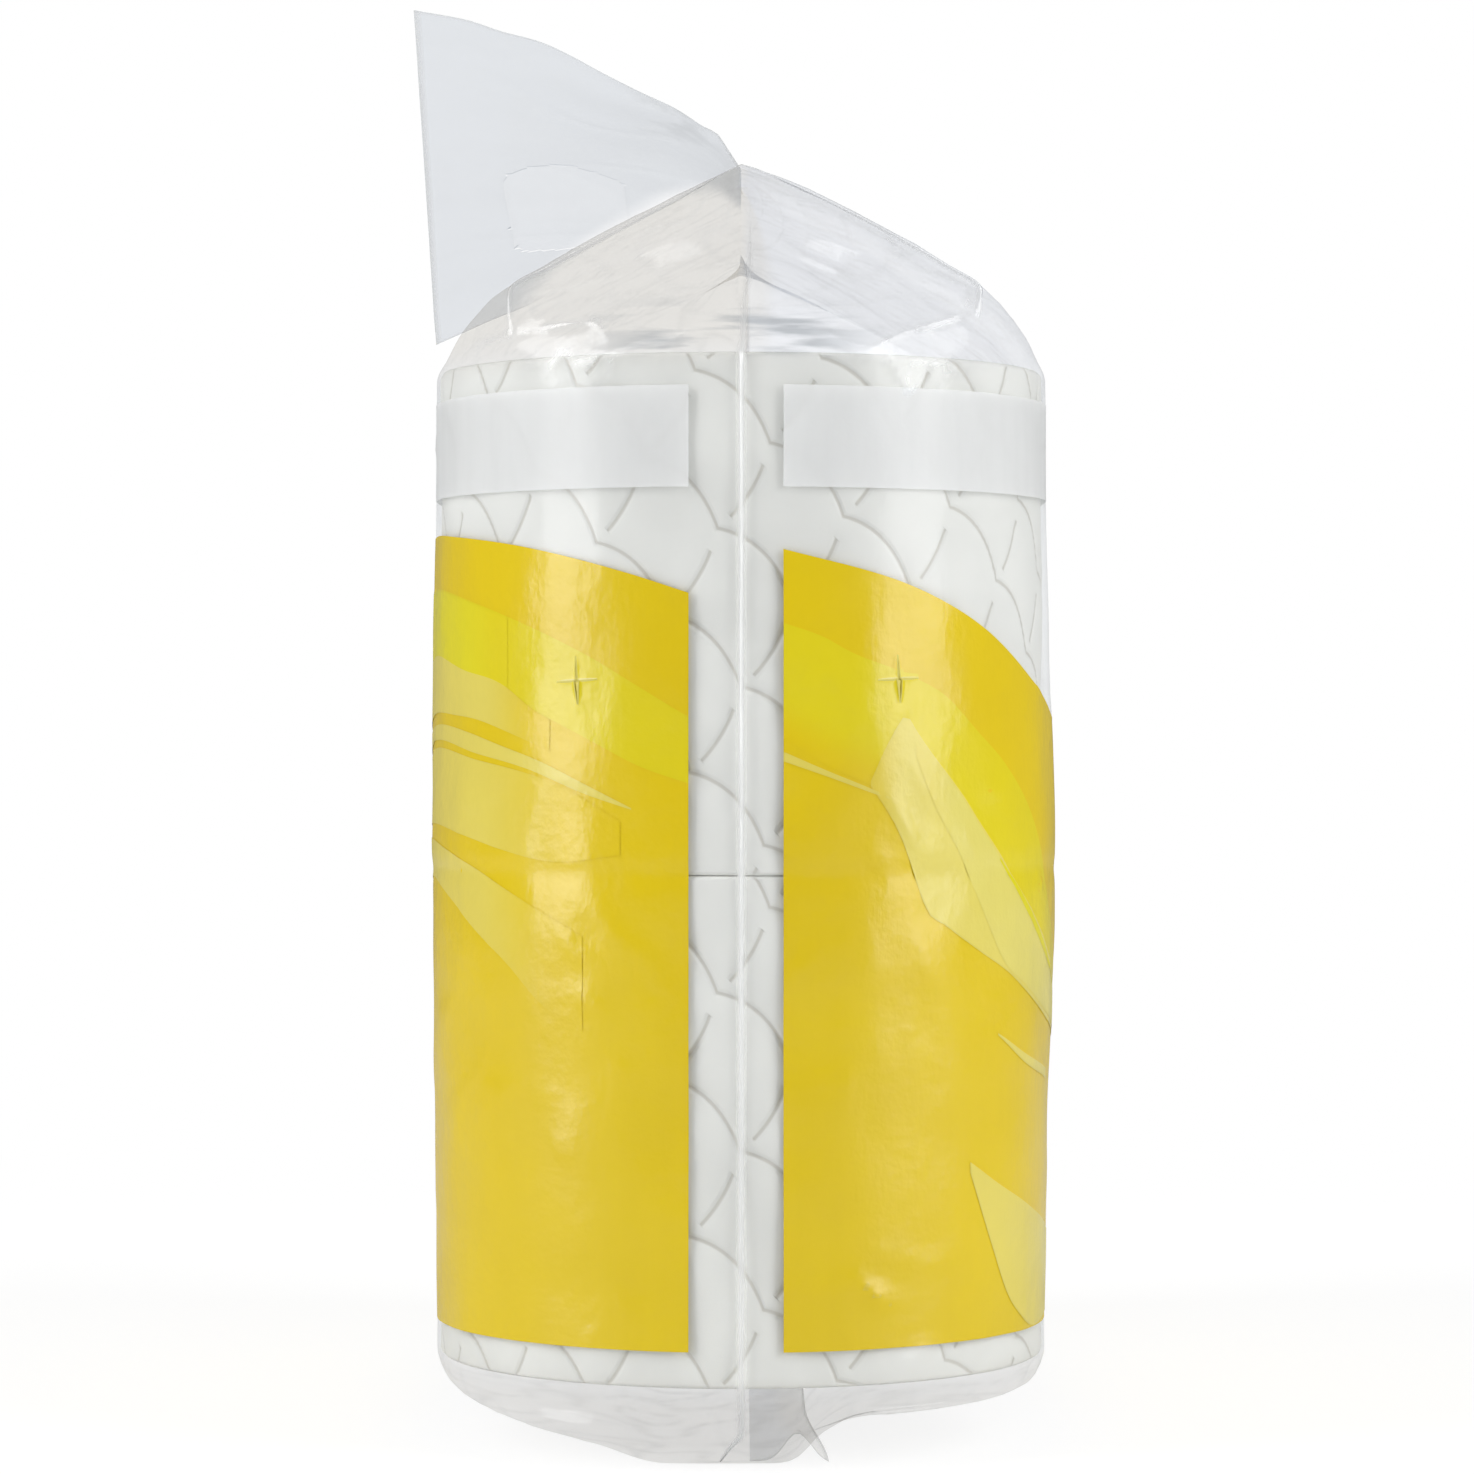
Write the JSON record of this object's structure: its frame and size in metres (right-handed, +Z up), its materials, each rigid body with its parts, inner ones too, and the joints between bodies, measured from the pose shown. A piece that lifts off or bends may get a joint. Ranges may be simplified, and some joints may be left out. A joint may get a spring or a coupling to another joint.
{
  "type": "toilet paper roll pack",
  "caption": "Toilet paper rolls standing in two layers in a clear gusseted film bag with a gabled top, a leaning sealed fin with a carry slot, and printed yellow fields.",
  "frame": {"origin": "on the surface the pack stands on, under the middle of the block of rolls", "axes": "+Z up, +Y from the front narrow end with the seen gusset crease to the back narrow end, +X to the right seen from the front"},
  "size_m": [0.1344, 0.2448, 0.28],
  "materials": {
    "clear_film": "clear glossy polyethylene film",
    "white_ink": "thin white ink under gloss",
    "gold_ink": "golden yellow ink under gloss",
    "lime_ink": "greenish yellow ink under gloss",
    "pale_ink": "pale yellow ink under gloss",
    "tissue": "soft embossed tissue",
    "core_card": "grey brown wound card"
  },
  "bodies": {
    "root": {"film_bag": "clear_film", "white_print": "white_ink", "gold_print": "gold_ink", "lime_print": "lime_ink", "pale_print": "pale_ink", "lower_front_roll": "tissue", "lower_back_roll": "tissue", "upper_front_roll": "tissue", "upper_back_roll": "tissue", "lower_front_core": "core_card", "lower_back_core": "core_card", "upper_front_core": "core_card", "upper_back_core": "core_card"}
  },
  "joints": []
}
